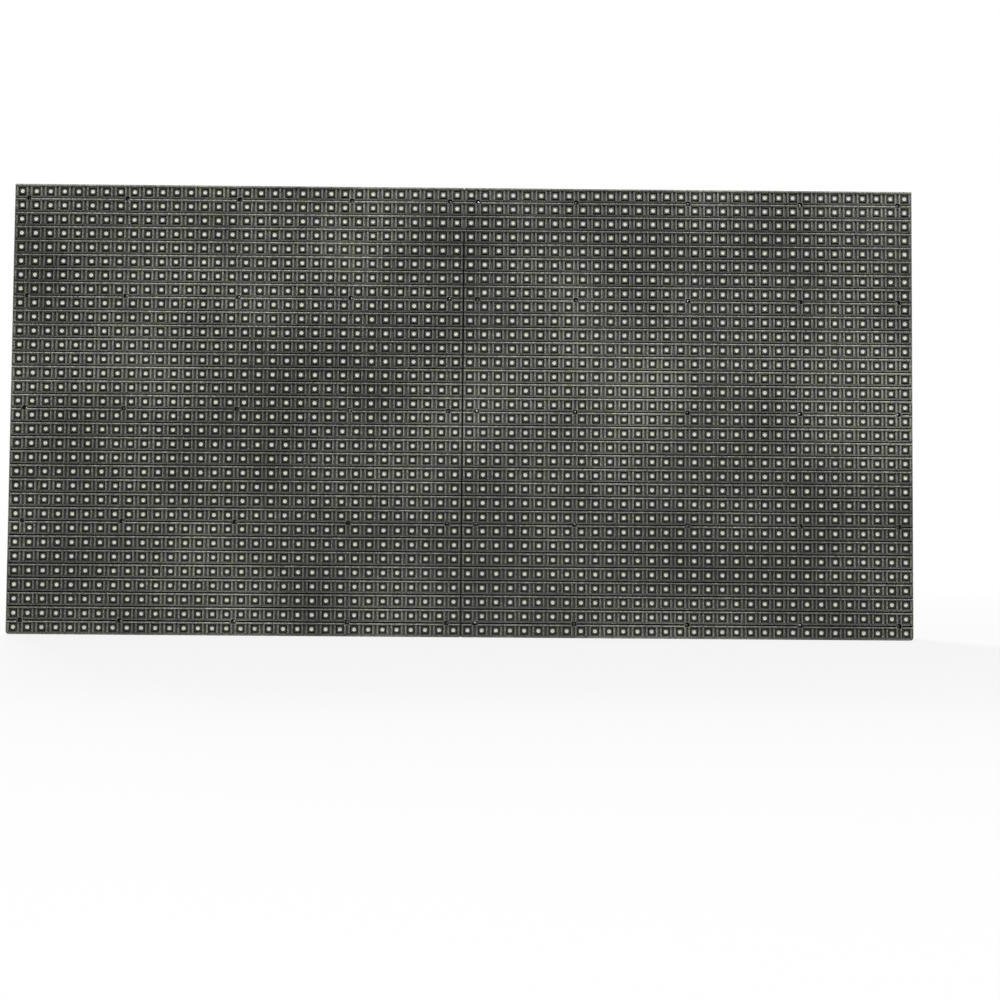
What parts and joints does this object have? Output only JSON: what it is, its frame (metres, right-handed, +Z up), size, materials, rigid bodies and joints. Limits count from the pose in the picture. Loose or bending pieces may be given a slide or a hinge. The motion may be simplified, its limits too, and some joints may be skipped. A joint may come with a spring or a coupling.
{
  "type": "rgb led matrix panel",
  "caption": "Flat light module: a grid of small square lights behind a black louvred mask, on a board in a ribbed black frame with threaded inserts and plug headers.",
  "frame": {"origin": "centre of the rear mounting plane, midway between the corner inserts", "axes": "+X along the length, +Z up the height, +Y out of the back; the face looks along -Y"},
  "size_m": [0.32, 0.0158, 0.16],
  "materials": {
    "frame_black": "moulded glass-filled plastic",
    "insert_brass": "turned brass",
    "board_black": "black solder resist on glass epoxy",
    "led_black": "black light package",
    "mask_black": "matt moulded polycarbonate",
    "chip_grey": "moulded epoxy",
    "lead_tin": "tinned lead frame",
    "resistor_black": "glazed chip",
    "capacitor_tan": "ceramic chip",
    "base_black": "moulded base",
    "can_aluminium": "drawn can",
    "header_black": "moulded shroud",
    "pin_brass": "gold flash",
    "connector_white": "natural nylon",
    "pin_tin": "tinned brass"
  },
  "bodies": {
    "root": {"rear_frame": "frame_black", "threaded_inserts": "insert_brass", "circuit_board": "board_black", "led_columns_left": "led_black", "led_columns_right": "led_black", "face_mask_left": "mask_black", "face_mask_right": "mask_black", "driver_chips": "chip_grey", "driver_chip_leads": "lead_tin", "row_switch_chips": "chip_grey", "row_switch_leads": "lead_tin", "buffer_chips": "chip_grey", "buffer_chip_leads": "lead_tin", "resistor_packs": "resistor_black", "chip_capacitors": "capacitor_tan", "chip_resistors": "resistor_black", "capacitor_bases": "base_black", "capacitor_cans": "can_aluminium", "input_header_housing": "header_black", "input_header_pins": "pin_brass", "output_header_housing": "header_black", "output_header_pins": "pin_brass", "power_connector_housing": "connector_white", "power_connector_pins": "pin_tin"}
  },
  "joints": []
}
